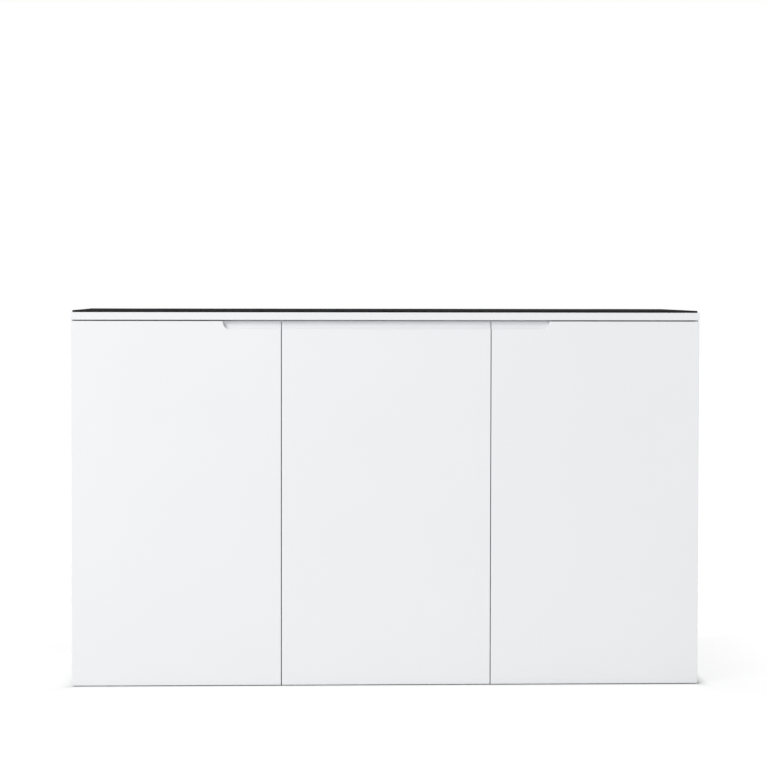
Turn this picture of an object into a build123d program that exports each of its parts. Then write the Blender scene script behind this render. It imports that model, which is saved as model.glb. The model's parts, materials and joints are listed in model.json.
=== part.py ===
from build123d import *

import os
from dataclasses import dataclass

# Aquarium stand cabinet, in millimetres. X is the width, Y the depth with the doors at -Y, and Z is up.
# The origin is on the floor, at the middle of the cabinet's footprint.

# ---- Driving dimensions -------------------------------------------------------------------------
WIDTH = 1500.0
DEPTH = 600.0
HEIGHT = 892.0  # floor to the top of the top panel, under the levelling mat
BOARD = 18.0  # lacquered MDF board
BACK_BOARD = 10.0
BACK_RECESS = 2.0  # back panels inside the rear edges of the uprights
MAT = 5.0  # foam levelling mat
MAT_INSET = 4.0
MAT_CUT_MARGIN = 3.0

FLOOR_GAP = 2.0  # clearance under the doors, side panels and plinth
SHADOW_GAP = 3.0  # between the doors and the top panel
DOOR_GAP = 2.0  # between doors, and between the doors and the carcass
SIDE_INSET = 1.0  # door edge inside the side panel's outer face
EDGE = 1.0  # small rounding of every visible board edge

PLINTH_HEIGHT = 82.0  # underside of the base panel
RAIL_HEIGHT = 100.0  # rails under the top panel
DIVIDER_X = 250.0  # behind the gap between the middle and the right door

# Finger pull routed into the doors' top edges
PULL_DROP = 17.5  # lip below the door's top
PULL_LIP = 4.4
PULL_ROUND = 3.4  # rounding of the lip's front edge
PULL_TONGUE = 6.0  # what is left of the door behind the scoop, at its top
PULL_HOOK = 2.5  # bottom of the scoop below the lip
PULL_END = 139.0  # length of the pull on each side door, at the top
PULL_SHOULDER = (136.5, 6.5)  # where its end bends: distance from the free edge, height over the lip
PULL_BEND = 8.0  # rounding of that bend
PULL_FLOOR_ROUND = 1.0

# Plumbing cut-out in the top panel, under the tank's overflow
CUT_WIDTH = 280.0
CUT_Y = (140.0, 262.0)
CUT_CORNER = 20.0

# Concealed cup hinges: distances measured from the door's hinge edge
HINGE_HEIGHTS = (150.0, 440.0, 730.0)
CUP_CENTRE = 22.5
CUP_RADIUS = 17.45
CUP_BORE = 17.5
CUP_DEPTH = 12.0
CUP_WALL = 1.05
FLANGE = 1.2
NOSE = 25.0  # arm pin, from the hinge edge
NOSE_DEPTH = 6.5  # arm pin, in front of the door's back face
PIN_RADIUS = 1.5
EAR_RADIUS = 3.2
EAR_Z = (4.3, 6.3)
LINK_LENGTH = 12.0
LINK_Z = 4.0
LINK_HALF = 1.5
PLATE = 3.0
PLATE_Y = -243.0
SCREW_RADIUS = 1.95
SCREW_CLEARANCE = 0.05

# Levelling feet
FOOT_X = (-690.0, -195.0, 195.0, 690.0)
FOOT_Y = (-215.0, 235.0)
PAD_RADIUS = 25.0
PAD_HEIGHT = 10.0
STEM_RADIUS = 4.9
STEM_TOP = 77.0
INSERT_RADIUS = 7.0
INSERT_BORE = 5.0
BLOCK = 80.0
BLOCK_BOTTOM = 52.0
KEY_HOLE = 6.0

# Shelf in the equipment bay
SHELF_BOARD = 16.0
SHELF_Z = 480.0
SHELF_PIN_RADIUS = 2.5
SHELF_PIN_Y = (-210.0, 230.0)
SHELF_PIN_STEP = 64.0

# Ports
PORT_RADIUS = 30.0
GROMMET_BORE = 25.0
GROMMET_FLANGE = 35.0
DIVIDER_PORT = (180.0, 720.0)  # y, z
BACK_PORT = (495.0, 690.0)  # x, z
SERVICE_WIDTH = 300.0
SERVICE_Z = (560.0, 720.0)
SERVICE_X = (-490.0, 0.0)
VENT_LENGTH = 60.0
VENT_WIDTH = 8.0
VENT_PITCH = 18.0
VENT_ROWS = 7
VENT_Z = 180.0

# Fittings
DOWEL_RADIUS = 4.0
DOWEL_HALF = 12.0
CAM_RADIUS = 7.5
CAM_DEPTH = 12.5
CAM_DROP = 34.0
FIT = 0.05  # radial play of glued and pressed fittings
MAGNET_RADIUS = 6.0
MAGNET_DEPTH = 14.0
MAGNET_Z = 800.0
CATCH_INSET = 24.0  # magnet and bumpers from the door's free edge

# ---- Derived places -----------------------------------------------------------------------------
FRONT = -DEPTH / 2
BACK = DEPTH / 2
HALF = WIDTH / 2
INNER = HALF - BOARD
TOP_UNDER = HEIGHT - BOARD
BASE_TOP = PLINTH_HEIGHT + BOARD
DOOR_BACK = FRONT + BOARD
CARCASS_FRONT = DOOR_BACK + DOOR_GAP
DOOR_TOP = TOP_UNDER - SHADOW_GAP
DOOR_EDGE = HALF - SIDE_INSET
BACK_FACE = BACK - BACK_RECESS
BACK_FRONT = BACK_FACE - BACK_BOARD
RAIL_BOTTOM = TOP_UNDER - RAIL_HEIGHT
DIVIDER = (DIVIDER_X - BOARD / 2, DIVIDER_X + BOARD / 2)
NOSE_Y = DOOR_BACK - NOSE_DEPTH


@dataclass
class Leaf:
    """One door: its hinge edge, its free edge, and the face of the panel that carries its hinges."""

    name: str
    hinge_x: float
    free_x: float
    panel_face: float

    @property
    def inward(self):
        return 1.0 if self.free_x > self.hinge_x else -1.0

    @property
    def overlay(self):
        return abs(self.panel_face - self.hinge_x)

    def at(self, distance):
        """X of a point that lies this far from the hinge edge."""
        return self.hinge_x + self.inward * distance

    def span(self, near, far):
        """X range between two distances from the hinge edge."""
        return tuple(sorted((self.at(near), self.at(far))))


LEAVES = (
    Leaf("left", -DOOR_EDGE, -DIVIDER_X - DOOR_GAP / 2, -INNER),
    Leaf("middle", DIVIDER_X - DOOR_GAP / 2, -DIVIDER_X + DOOR_GAP / 2, DIVIDER[0]),
    Leaf("right", DOOR_EDGE, DIVIDER_X + DOOR_GAP / 2, INNER),
)


# ---- Basic shapes -------------------------------------------------------------------------------
def block(x, y, z):
    """A box between three coordinate ranges."""
    centre = [(low + high) / 2 for low, high in (x, y, z)]
    size = [high - low for low, high in (x, y, z)]
    return Pos(*centre) * Box(*size)


def board(x, y, z):
    """A box with slightly rounded edges."""
    plain = block(x, y, z)
    return fillet(plain.edges(), EDGE)


def rod_x(x, y, z, radius):
    centre = Pos((x[0] + x[1]) / 2, y, z)
    return centre * Rot(0, 90, 0) * Cylinder(radius, x[1] - x[0])


def rod_y(x, y, z, radius):
    centre = Pos(x, (y[0] + y[1]) / 2, z)
    return centre * Rot(90, 0, 0) * Cylinder(radius, y[1] - y[0])


def rod_z(x, y, z, radius):
    centre = Pos(x, y, (z[0] + z[1]) / 2)
    return centre * Cylinder(radius, z[1] - z[0])


def write(node, *solids):
    """Save one node; several loose solids of the same kind share it."""
    shape = solids[0] if len(solids) == 1 else Compound(children=list(solids))
    export_step(shape, f"parts/{node}.step")


# ---- Fitting positions --------------------------------------------------------------------------
def dowels():
    """Glued dowels between the upright panels, the top panel and the base panel."""
    made = []
    for y in (-120.0, 120.0):
        for x in (-HALF + BOARD / 2, DIVIDER_X, HALF - BOARD / 2):
            made.append(rod_z(x, y, (TOP_UNDER - DOWEL_HALF, TOP_UNDER + DOWEL_HALF), DOWEL_RADIUS - FIT))
    for y in (-200.0, 0.0, 200.0):
        made.append(rod_z(DIVIDER_X, y, (BASE_TOP - DOWEL_HALF, BASE_TOP + DOWEL_HALF), DOWEL_RADIUS - FIT))
        for side in (-INNER, INNER):
            x = (side - DOWEL_HALF, side + DOWEL_HALF)
            made.append(rod_x(x, y, BASE_TOP - BOARD / 2, DOWEL_RADIUS - FIT))
    return made


def dowel_holes():
    """The holes for the dowels, a little wider and longer than they are."""
    made = []
    deep = DOWEL_HALF + 1.0
    for y in (-120.0, 120.0):
        for x in (-HALF + BOARD / 2, DIVIDER_X, HALF - BOARD / 2):
            made.append(rod_z(x, y, (TOP_UNDER - deep, TOP_UNDER + deep), DOWEL_RADIUS))
    for y in (-200.0, 0.0, 200.0):
        made.append(rod_z(DIVIDER_X, y, (BASE_TOP - deep, BASE_TOP + deep), DOWEL_RADIUS))
        for side in (-INNER, INNER):
            made.append(rod_x((side - deep, side + deep), y, BASE_TOP - BOARD / 2, DOWEL_RADIUS))
    return made


def cam_places():
    """(inner face x, direction into the panel, y) of every cam lock."""
    uprights = ((-INNER, -1.0), (DIVIDER[1], -1.0), (INNER, 1.0))
    return [(face, into, y) for face, into in uprights for y in (-200.0, 200.0)]


def cams(play):
    """Cam housings in the upright panels, just under the top panel."""
    made = []
    for face, into, y in cam_places():
        x = sorted((face, face + into * (CAM_DEPTH + FIT - play)))
        made.append(rod_x(x, y, TOP_UNDER - CAM_DROP, CAM_RADIUS - play))
    return made


def cam_bolts(play):
    """Bolts from the top panel down to the cams, in the middle of each upright."""
    made = []
    low = TOP_UNDER - CAM_DROP + CAM_RADIUS + play
    for face, into, y in cam_places():
        x = face + into * BOARD / 2
        made.append(rod_z(x, y, (low, TOP_UNDER + DOWEL_HALF - play), DOWEL_RADIUS - 1.0 - play))
    return made


def shelf_pin_places():
    """(panel face x, direction into the bay, y) of the four shelf pins."""
    return [(face, into, y) for face, into in ((DIVIDER[1], 1.0), (INNER, -1.0)) for y in SHELF_PIN_Y]


def shelf_pin_holes():
    """Two columns of pin holes in each panel of the equipment bay."""
    made = []
    for face, into, y in shelf_pin_places():
        x = sorted((face, face - into * 9.0))
        for step in range(-2, 3):
            made.append(rod_x(x, y, SHELF_Z - SHELF_PIN_RADIUS + step * SHELF_PIN_STEP, SHELF_PIN_RADIUS))
    return made


def plate_screw_holes(leaf):
    """Pilot holes for the hinge plates' screws in the panel that carries them."""
    made = []
    for height in HINGE_HEIGHTS:
        for z in (height - 16.0, height + 16.0):
            x = leaf.span(leaf.overlay - 8.0 if leaf.name == "middle" else leaf.overlay - 13.0, leaf.overlay)
            made.append(rod_x(x, PLATE_Y, z, SCREW_RADIUS + SCREW_CLEARANCE))
    return made


# ---- Carcass ------------------------------------------------------------------------------------
def plumbing_cut(z, margin=0.0):
    """Rounded cut-out under the overflow, grown by a margin."""
    size_y = CUT_Y[1] - CUT_Y[0] + 2 * margin
    outline = RectangleRounded(CUT_WIDTH + 2 * margin, size_y, CUT_CORNER)
    place = Pos(0, (CUT_Y[0] + CUT_Y[1]) / 2, z[0])
    return place * extrude(outline, z[1] - z[0])


def top_panel():
    panel = board((-HALF, HALF), (FRONT, BACK), (TOP_UNDER, HEIGHT))
    panel -= plumbing_cut((TOP_UNDER - 1, HEIGHT + 1))
    return panel - dowel_holes() - cam_bolts(0.0)


def levelling_mat():
    half = HALF - MAT_INSET
    depth = DEPTH / 2 - MAT_INSET
    mat = block((-half, half), (-depth, depth), (HEIGHT, HEIGHT + MAT))
    return mat - plumbing_cut((HEIGHT - 1, HEIGHT + MAT + 1), MAT_CUT_MARGIN)


def side_panel(side):
    x = sorted((side * INNER, side * HALF))
    panel = board(x, (CARCASS_FRONT, BACK), (FLOOR_GAP, TOP_UNDER))
    leaf = LEAVES[0] if side < 0 else LEAVES[2]
    cuts = dowel_holes() + cams(0.0) + cam_bolts(0.0) + plate_screw_holes(leaf)
    return panel - cuts - shelf_pin_holes()


def divider_panel():
    panel = block(DIVIDER, (CARCASS_FRONT, BACK), (BASE_TOP, TOP_UNDER))
    cuts = dowel_holes() + cams(0.0) + cam_bolts(0.0) + plate_screw_holes(LEAVES[1])
    port_y, port_z = DIVIDER_PORT
    port = rod_x((DIVIDER[0] - 1, DIVIDER[1] + 1), port_y, port_z, PORT_RADIUS)
    return panel - cuts - shelf_pin_holes() - port


def base_panel():
    panel = block((-INNER, INNER), (CARCASS_FRONT, BACK), (PLINTH_HEIGHT, BASE_TOP))
    keys = [rod_z(x, y, (PLINTH_HEIGHT - 1, BASE_TOP + 1), KEY_HOLE) for x in FOOT_X for y in FOOT_Y]
    return panel - dowel_holes() - keys


def plinth_rail(y):
    return block((-INNER, INNER), y, (FLOOR_GAP, PLINTH_HEIGHT))


def plinth_bearers():
    """Bearers that tie the two plinth rails together under the base panel."""
    made = []
    for middle in (-DIVIDER_X, DIVIDER_X):
        x = (middle - BOARD / 2, middle + BOARD / 2)
        made.append(block(x, (CARCASS_FRONT + BOARD, BACK - BOARD), (FLOOR_GAP, PLINTH_HEIGHT)))
    return made


def magnet_x(leaf):
    return leaf.free_x - leaf.inward * CATCH_INSET


def front_rail(x):
    """Front rail under the top panel, bored for the magnets in its range."""
    rail = block(x, (CARCASS_FRONT, CARCASS_FRONT + BOARD), (RAIL_BOTTOM, TOP_UNDER))
    for leaf in LEAVES:
        if x[0] < magnet_x(leaf) < x[1]:
            y = (CARCASS_FRONT - 1, CARCASS_FRONT + MAGNET_DEPTH)
            rail -= rod_y(magnet_x(leaf), y, MAGNET_Z, MAGNET_RADIUS + FIT)
    return rail


def rear_rail(x):
    return block(x, (BACK_FRONT - BOARD, BACK_FRONT), (RAIL_BOTTOM, TOP_UNDER))


def slot_y(x, z, length, width):
    """A cutter for a round-ended slot through the back panel."""
    outline = SlotOverall(length, width)
    return Pos(x, BACK_FACE + 1, z) * Rot(90, 0, 0) * extrude(outline, BACK_BOARD + 2)


def vents(middle):
    """A block of ventilation slots, two columns wide."""
    made = []
    for row in range(VENT_ROWS):
        for side in (-1, 1):
            x = middle + side * (VENT_LENGTH / 2 + 10.0)
            made.append(slot_y(x, VENT_Z + row * VENT_PITCH, VENT_LENGTH, VENT_WIDTH))
    return made


def left_back_panel():
    """Back of the sump bay, with two service openings and vents."""
    panel = block((-INNER, DIVIDER[0]), (BACK_FRONT, BACK_FACE), (BASE_TOP, TOP_UNDER))
    middle_z = sum(SERVICE_Z) / 2
    for x in SERVICE_X:
        outline = RectangleRounded(SERVICE_WIDTH, SERVICE_Z[1] - SERVICE_Z[0], CUT_CORNER)
        panel -= Pos(x, BACK_FACE + 1, middle_z) * Rot(90, 0, 0) * extrude(outline, BACK_BOARD + 2)
        panel -= vents(x)
    return panel


def right_back_panel():
    """Back of the equipment bay, with a cable port and vents."""
    panel = block((DIVIDER[1], INNER), (BACK_FRONT, BACK_FACE), (BASE_TOP, TOP_UNDER))
    port_x, port_z = BACK_PORT
    panel -= rod_y(port_x, (BACK_FRONT - 1, BACK_FACE + 1), port_z, PORT_RADIUS)
    return panel - vents(port_x)


# ---- Fittings on the carcass --------------------------------------------------------------------
def grommet(length):
    """Cable grommet along Z: a sleeve with a flange at each end, centred on the origin."""
    sleeve = Cylinder(PORT_RADIUS - FIT, length)
    for side in (-1, 1):
        sleeve += Pos(0, 0, side * (length / 2 + 1.0)) * Cylinder(GROMMET_FLANGE, 2.0)
    return sleeve - Cylinder(GROMMET_BORE, length + 10)


def divider_grommet():
    port_y, port_z = DIVIDER_PORT
    return Pos(DIVIDER_X, port_y, port_z) * Rot(0, 90, 0) * grommet(BOARD)


def back_grommet():
    port_x, port_z = BACK_PORT
    return Pos(port_x, (BACK_FRONT + BACK_FACE) / 2, port_z) * Rot(90, 0, 0) * grommet(BACK_BOARD)


def shelf():
    x = (DIVIDER[1] + 1.0, INNER - 1.0)
    return block(x, (CARCASS_FRONT + 27.0, BACK_FRONT - 5.0), (SHELF_Z, SHELF_Z + SHELF_BOARD))


def shelf_pins():
    """Shelf pins: a shank in the panel, a collar and a flat spoon under the shelf."""
    made = []
    for face, into, y in shelf_pin_places():
        z = SHELF_Z - SHELF_PIN_RADIUS
        shank = rod_x(sorted((face - into * 8.0, face)), y, z, SHELF_PIN_RADIUS - FIT)
        spoon = rod_x(sorted((face, face + into * 9.0)), y, z, SHELF_PIN_RADIUS)
        made.append(shank + spoon)
    return made


def foot_blocks():
    """Hardwood blocks under the base panel that take the feet."""
    made = []
    for x in FOOT_X:
        for y in FOOT_Y:
            half = BLOCK / 2
            cube = block((x - half, x + half), (y - half, y + half), (BLOCK_BOTTOM, PLINTH_HEIGHT))
            made.append(cube - rod_z(x, y, (BLOCK_BOTTOM - 1, PLINTH_HEIGHT + 1), INSERT_RADIUS + FIT))
    return made


def foot_inserts():
    """Threaded inserts pressed into the blocks."""
    made = []
    for x in FOOT_X:
        for y in FOOT_Y:
            sleeve = rod_z(x, y, (BLOCK_BOTTOM, PLINTH_HEIGHT), INSERT_RADIUS)
            made.append(sleeve - rod_z(x, y, (BLOCK_BOTTOM - 1, PLINTH_HEIGHT + 1), INSERT_BORE))
    return made


def key_hole_caps():
    """Caps over the holes through which the feet are turned from inside the cabinet."""
    made = []
    for x in FOOT_X:
        for y in FOOT_Y:
            plug = rod_z(x, y, (BASE_TOP - 8.0, BASE_TOP), KEY_HOLE - FIT)
            made.append(plug + rod_z(x, y, (BASE_TOP, BASE_TOP + 1.6), KEY_HOLE + 3.0))
    return made


def foot(x, y):
    """A levelling foot: round pad, hexagonal collar and threaded stem."""
    pad = Pos(x, y, PAD_HEIGHT / 2) * Cylinder(PAD_RADIUS, PAD_HEIGHT)
    pad = fillet(pad.edges().group_by(Axis.Z)[-1], 3.0)
    collar = Pos(x, y, PAD_HEIGHT) * extrude(RegularPolygon(9.0, 6), 7.0)
    return pad + collar + rod_z(x, y, (PAD_HEIGHT, STEM_TOP), STEM_RADIUS)


def magnets():
    """Round magnets in the front rails, one behind each door's free edge."""
    y = (CARCASS_FRONT - 0.3, CARCASS_FRONT + MAGNET_DEPTH - FIT)
    return [rod_y(magnet_x(leaf), y, MAGNET_Z, MAGNET_RADIUS) for leaf in LEAVES]


# ---- Doors --------------------------------------------------------------------------------------
def pull_profile():
    """Section of the finger pull: everything that is cut away above the lip and in the scoop behind it."""
    lip_top = DOOR_TOP - PULL_DROP
    front_low = lip_top - PULL_ROUND
    inner = PULL_LIP - PULL_ROUND
    lip_back = FRONT + PULL_LIP
    back = DOOR_BACK - PULL_TONGUE
    floor = lip_top - PULL_HOOK
    deepest = lip_back + PULL_FLOOR_ROUND
    round_start = floor + PULL_FLOOR_ROUND
    over = DOOR_TOP + 1
    lines = [
        Line((FRONT - 1, over), (FRONT - 1, front_low)),
        Line((FRONT - 1, front_low), (FRONT, front_low)),
        CenterArc((FRONT + PULL_ROUND, front_low), PULL_ROUND, 180, -90),
        CenterArc((lip_back - inner, lip_top - inner), inner, 90, -90),
        Line((lip_back, lip_top - inner), (lip_back, round_start)),
        CenterArc((deepest, round_start), PULL_FLOOR_ROUND, 180, 90),
        EllipticalCenterArc((deepest, DOOR_TOP), back - deepest, DOOR_TOP - floor, 270, arc_size=90),
        Line((back, DOOR_TOP), (back, over)),
        Line((back, over), (FRONT - 1, over)),
    ]
    return make_face(lines)


def pull_cutter(leaf):
    """The pull along the door's top; on a side door its outer end slopes, then bends to 45 degrees."""
    low, high = sorted((leaf.hinge_x, leaf.free_x))
    bar = extrude(Plane.YZ.offset(low - 1) * pull_profile(), high - low + 2)
    if leaf.name == "middle":
        return bar
    reach, height = PULL_SHOULDER
    lip_top = DOOR_TOP - PULL_DROP
    bottom = lip_top - 2 * PULL_HOOK
    corner = (leaf.free_x - leaf.inward * reach, lip_top + height)
    outline = Polygon(
        (leaf.free_x + leaf.inward * 2, bottom),
        (leaf.free_x + leaf.inward * 2, DOOR_TOP),
        (leaf.free_x - leaf.inward * PULL_END, DOOR_TOP),
        corner,
        (corner[0] + leaf.inward * (corner[1] - bottom), bottom),
        align=None,
    )
    bend = outline.vertices().sort_by_distance((*corner, 0))[0]
    outline = fillet(bend, PULL_BEND)
    prism = extrude(Plane.XZ.offset(-DOOR_BACK) * outline, 2 * BOARD, both=True)
    return bar & prism


def door(leaf):
    x = sorted((leaf.hinge_x, leaf.free_x))
    panel = board(x, (FRONT, DOOR_BACK), (FLOOR_GAP, DOOR_TOP))
    panel -= pull_cutter(leaf)
    for z in HINGE_HEIGHTS:
        panel -= rod_y(leaf.at(CUP_CENTRE), (DOOR_BACK - CUP_DEPTH, DOOR_BACK + 1), z, CUP_BORE)
    for x_screw, z in cup_screw_places(leaf):
        panel -= rod_y(x_screw, (DOOR_BACK - 11.0, DOOR_BACK + 1), z, SCREW_RADIUS + SCREW_CLEARANCE)
    return panel


def cup_screw_places(leaf):
    return [(leaf.at(28.0), z + side * 24.0) for z in HINGE_HEIGHTS for side in (-1, 1)]


def hinge_cup(leaf, z):
    """Hinge cup: an open pot with a rim and a flange screwed to the door's back."""
    x = leaf.at(CUP_CENTRE)
    pot = rod_y(x, (DOOR_BACK - CUP_DEPTH + CUP_WALL / 2, DOOR_BACK), z, CUP_RADIUS)
    flange = block(leaf.span(15.0, 33.0), (DOOR_BACK, DOOR_BACK + FLANGE), (z - 31.0, z + 31.0))
    flange = fillet(flange.edges().filter_by(Axis.Y), 6.0)
    rim = rod_y(x, (DOOR_BACK, DOOR_BACK + FLANGE), z, CUP_RADIUS + 1.5)
    cavity = rod_y(x, (DOOR_BACK - CUP_DEPTH + 1.5, DOOR_BACK + 5), z, CUP_RADIUS - CUP_WALL)
    cup = pot + flange + rim - cavity
    for side in (-1, 1):
        y = (DOOR_BACK - 1, DOOR_BACK + 5)
        cup -= rod_y(leaf.at(28.0), y, z + side * 24.0, SCREW_RADIUS + SCREW_CLEARANCE)
    return cup


def cup_screws(leaf):
    made = []
    for x, z in cup_screw_places(leaf):
        shank = rod_y(x, (DOOR_BACK - 10.0, DOOR_BACK + FLANGE), z, SCREW_RADIUS)
        made.append(shank + rod_y(x, (DOOR_BACK + FLANGE, DOOR_BACK + FLANGE + 0.5), z, 3.8))
    return made


def strike_disc(leaf):
    """Steel disc that the magnet pulls on."""
    return rod_y(magnet_x(leaf), (DOOR_BACK, DOOR_BACK + 0.8), MAGNET_Z, 9.0)


def bumpers(leaf):
    """Soft stick-on bumpers near the free edge, facing the rails."""
    made = []
    for z in (40.0, 840.0):
        pad = rod_y(magnet_x(leaf), (DOOR_BACK, DOOR_BACK + 1.6), z, 4.0)
        made.append(fillet(pad.edges().group_by(Axis.Y)[-1], 0.8))
    return made


# ---- Hinge arms, plates and links ---------------------------------------------------------------
def hinge_plate(leaf, z):
    """Mounting plate: a rail along the panel with two wings for its screws."""
    face = leaf.overlay
    rail = block(leaf.span(face, face + PLATE), (PLATE_Y - 19.0, PLATE_Y + 31.0), (z - 8.0, z + 8.0))
    wings = block(leaf.span(face, face + 2.0), (PLATE_Y - 7.0, PLATE_Y + 7.0), (z - 25.0, z + 25.0))
    wings = fillet(wings.edges().filter_by(Axis.X), 5.0)
    plate = rail + wings
    for side in (-1, 1):
        x = leaf.span(face - 1, face + 5)
        plate -= rod_x(x, PLATE_Y, z + side * 16.0, SCREW_RADIUS + SCREW_CLEARANCE)
    return plate


def plate_screws(leaf):
    """Screws of the mounting plates; those in the divider are shorter."""
    made = []
    depth = 7.0 if leaf.name == "middle" else 12.0
    face = leaf.overlay
    for height in HINGE_HEIGHTS:
        for z in (height - 16.0, height + 16.0):
            shank = rod_x(leaf.span(face - depth, face + 2.0), PLATE_Y, z, SCREW_RADIUS)
            made.append(shank + rod_x(leaf.span(face + 2.0, face + 3.2), PLATE_Y, z, 3.8))
    return made


def hinge_arm(leaf, z):
    """Cranked arm on the plate; two ears at its nose hold the pin inside the cup."""
    low = leaf.overlay + PLATE
    body = block(leaf.span(low, low + 9.0), (PLATE_Y - 25.0, PLATE_Y + 25.0), (z - 7.0, z + 7.0))
    body = fillet(body.edges().filter_by(Axis.X), 3.0)
    crank_y = (PLATE_Y - 33.0, PLATE_Y - 23.0)
    crank = block(leaf.span(low, NOSE + EAR_RADIUS), crank_y, (z - EAR_Z[1], z + EAR_Z[1]))
    neck = block(
        leaf.span(NOSE - EAR_RADIUS, NOSE + EAR_RADIUS),
        (NOSE_Y + EAR_RADIUS + 1.3, crank_y[1]),
        (z - EAR_Z[1], z + EAR_Z[1]),
    )
    arm = body + crank + neck
    for side in (-1, 1):
        ear_z = tuple(sorted((z + side * EAR_Z[0], z + side * EAR_Z[1])))
        ear = block(leaf.span(NOSE - EAR_RADIUS, NOSE + EAR_RADIUS), (NOSE_Y, NOSE_Y + 6.0), ear_z)
        arm += ear + rod_z(leaf.at(NOSE), NOSE_Y, ear_z, EAR_RADIUS)
    arm += rod_z(leaf.at(NOSE), NOSE_Y, (z - EAR_Z[1], z + EAR_Z[1]), PIN_RADIUS)
    for y in (PLATE_Y - 16.0, PLATE_Y + 12.0):
        arm += rod_x(leaf.span(low + 8.0, low + 9.8), y, z, 3.4)
    return arm


def hinge_link(leaf, z):
    """Link that swings on the arm's pin and reaches towards the cup's outer wall."""
    tall = (z - LINK_Z, z + LINK_Z)
    eye = rod_z(leaf.at(NOSE), NOSE_Y, tall, EAR_RADIUS - 0.2)
    tip = NOSE - LINK_LENGTH + LINK_HALF
    bar = block(leaf.span(tip, NOSE), (NOSE_Y - LINK_HALF, NOSE_Y + LINK_HALF), tall)
    end = rod_z(leaf.at(tip), NOSE_Y, tall, LINK_HALF)
    bore = rod_z(leaf.at(NOSE), NOSE_Y, (z - 10, z + 10), PIN_RADIUS + 0.1)
    return eye + bar + end - bore


# ---- All nodes ----------------------------------------------------------------------------------
def build_carcass():
    write("top_panel", top_panel())
    write("levelling_mat", levelling_mat())
    write("left_side_panel", side_panel(-1))
    write("right_side_panel", side_panel(1))
    write("divider_panel", divider_panel())
    write("base_panel", base_panel())
    write("front_plinth_rail", plinth_rail((CARCASS_FRONT, CARCASS_FRONT + BOARD)))
    write("rear_plinth_rail", plinth_rail((BACK - BOARD, BACK)))
    write("plinth_bearers", *plinth_bearers())
    write("front_top_rail_left", front_rail((-INNER, DIVIDER[0])))
    write("front_top_rail_right", front_rail((DIVIDER[1], INNER)))
    write("rear_top_rail_left", rear_rail((-INNER, DIVIDER[0])))
    write("rear_top_rail_right", rear_rail((DIVIDER[1], INNER)))
    write("left_back_panel", left_back_panel())
    write("right_back_panel", right_back_panel())


def build_fittings():
    write("panel_dowels", *dowels())
    write("cam_locks", *cams(FIT))
    write("cam_bolts", *cam_bolts(FIT))
    write("divider_grommet", divider_grommet())
    write("back_grommet", back_grommet())
    write("equipment_shelf", shelf())
    write("shelf_pins", *shelf_pins())
    write("foot_blocks", *foot_blocks())
    write("foot_inserts", *foot_inserts())
    write("key_hole_caps", *key_hole_caps())
    write("magnets", *magnets())


def build_feet():
    for row, y in (("front", FOOT_Y[0]), ("rear", FOOT_Y[1])):
        for number, x in enumerate(FOOT_X, start=1):
            write(f"{row}_foot_{number}", foot(x, y))


def build_doors():
    for leaf in LEAVES:
        write(f"{leaf.name}_door", door(leaf))
        write(f"{leaf.name}_hinge_cups", *[hinge_cup(leaf, z) for z in HINGE_HEIGHTS])
        write(f"{leaf.name}_cup_screws", *cup_screws(leaf))
        write(f"{leaf.name}_strike_disc", strike_disc(leaf))
        write(f"{leaf.name}_bumpers", *bumpers(leaf))
        write(f"{leaf.name}_hinge_plates", *[hinge_plate(leaf, z) for z in HINGE_HEIGHTS])
        write(f"{leaf.name}_hinge_arms", *[hinge_arm(leaf, z) for z in HINGE_HEIGHTS])
        write(f"{leaf.name}_hinge_links", *[hinge_link(leaf, z) for z in HINGE_HEIGHTS])
    screws = [screw for leaf in LEAVES for screw in plate_screws(leaf)]
    write("hinge_plate_screws", *screws)


os.makedirs("parts", exist_ok=True)
build_carcass()
build_fittings()
build_feet()
build_doors()
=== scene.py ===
import json
import math
import random

import bmesh
import bpy
from mathutils import Matrix, Vector, noise
from mathutils.geometry import delaunay_2d_cdt


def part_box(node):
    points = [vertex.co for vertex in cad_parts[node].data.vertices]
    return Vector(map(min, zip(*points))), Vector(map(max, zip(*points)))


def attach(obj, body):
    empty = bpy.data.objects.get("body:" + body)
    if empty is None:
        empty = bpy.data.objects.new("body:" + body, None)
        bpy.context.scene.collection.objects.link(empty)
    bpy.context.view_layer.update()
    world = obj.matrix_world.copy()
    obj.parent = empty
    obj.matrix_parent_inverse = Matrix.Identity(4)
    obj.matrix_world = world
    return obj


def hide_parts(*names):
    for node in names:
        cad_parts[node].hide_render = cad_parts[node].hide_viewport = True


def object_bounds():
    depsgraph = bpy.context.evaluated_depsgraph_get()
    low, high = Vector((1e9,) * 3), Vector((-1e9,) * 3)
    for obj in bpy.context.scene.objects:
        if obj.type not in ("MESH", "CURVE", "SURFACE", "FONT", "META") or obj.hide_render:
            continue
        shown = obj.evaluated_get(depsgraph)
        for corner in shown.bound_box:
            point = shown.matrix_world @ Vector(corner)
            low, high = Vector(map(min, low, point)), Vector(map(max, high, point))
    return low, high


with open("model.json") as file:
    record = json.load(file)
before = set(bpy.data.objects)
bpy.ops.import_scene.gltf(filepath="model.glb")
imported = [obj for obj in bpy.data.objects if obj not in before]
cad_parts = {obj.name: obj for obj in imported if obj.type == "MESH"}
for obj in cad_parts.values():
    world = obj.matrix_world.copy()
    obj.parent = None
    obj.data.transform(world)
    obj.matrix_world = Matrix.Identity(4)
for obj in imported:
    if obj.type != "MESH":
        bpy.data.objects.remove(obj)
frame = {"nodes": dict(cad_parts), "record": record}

# Aquarium stand cabinet: materials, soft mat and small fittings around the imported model.
# Lengths are in metres, in the model's own frame: X width, Y depth with the doors at -Y, Z up.
# Outlines of the small fittings are in millimetres and are scaled by MM where they are placed.

MM = 0.001
NODES = frame["nodes"]
LEAVES = ("left", "middle", "right")
cad_low, cad_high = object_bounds()

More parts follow.
